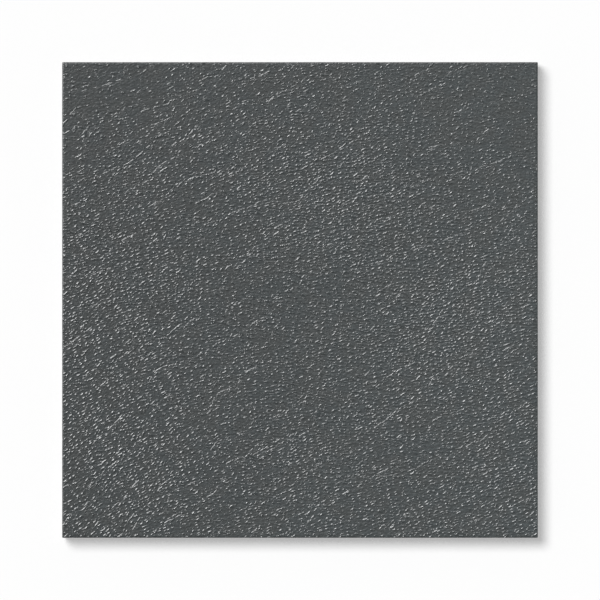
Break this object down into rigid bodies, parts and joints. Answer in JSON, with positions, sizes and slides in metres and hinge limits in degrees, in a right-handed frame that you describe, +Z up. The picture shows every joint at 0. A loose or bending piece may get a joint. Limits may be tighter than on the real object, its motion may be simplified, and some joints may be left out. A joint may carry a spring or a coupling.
{
  "type": "leather-faced granite slab",
  "caption": "Square granite bench slab with a dark grey grained leather face bonded on top and small rubber feet below, for leatherwork.",
  "frame": {"origin": "on the bench surface, under the centre of the slab", "axes": "+Z up, out of the leather face; +X to the right and -Y to the front of the slab, along its sides"},
  "size_m": [0.305, 0.305, 0.017],
  "materials": {
    "granite": "dark grey granite with pale feldspar, grey quartz and black mica, honed sides, sawn underside, eased edges",
    "contact_cement": "dried amber contact cement",
    "face_leather": "dark grey pebbled hide, semi-matt, with flowing grain and fine creases",
    "foot_rubber": "matt black moulded rubber",
    "foam_tape": "pale closed-cell foam tape"
  },
  "bodies": {
    "root": {"granite_slab": "granite", "cement_film": "contact_cement", "leather_face": "face_leather", "foot_front_left": "foot_rubber", "foot_front_right": "foot_rubber", "foot_back_left": "foot_rubber", "foot_back_right": "foot_rubber", "foot_tape_front_left": "foam_tape", "foot_tape_front_right": "foam_tape", "foot_tape_back_left": "foam_tape", "foot_tape_back_right": "foam_tape"}
  },
  "joints": []
}
